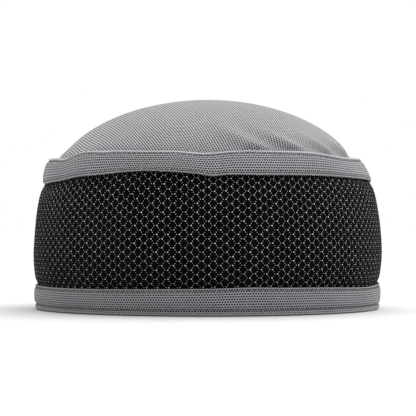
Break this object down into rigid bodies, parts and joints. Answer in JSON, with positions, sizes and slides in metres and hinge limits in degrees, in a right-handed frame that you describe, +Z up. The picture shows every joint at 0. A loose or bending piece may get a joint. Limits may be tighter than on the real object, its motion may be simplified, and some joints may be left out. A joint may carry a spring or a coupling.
{
  "type": "kufi cap",
  "caption": "Brimless round cap with a domed mesh crown, a dark dotted side panel, and pale mesh tapes folded over the panel's top and bottom edges.",
  "frame": {"origin": "centre of the rim, on the surface that the cap rests on", "axes": "+Z up to the top of the crown, -Y the front, which the picture shows, and +X the picture's right"},
  "size_m": [0.187, 0.1954, 0.1115],
  "materials": {
    "crown_mesh": "matte pale grey warp-knit mesh with fine slanting rows of holes",
    "tape_mesh": "matte grey mesh tape with staggered holes in rows along it",
    "panel_knit": "near-black knit with a honeycomb of small off-white dots"
  },
  "bodies": {
    "root": {"crown": "crown_mesh", "upper_tape": "tape_mesh", "side_panel": "panel_knit", "lower_tape": "tape_mesh"}
  },
  "joints": []
}
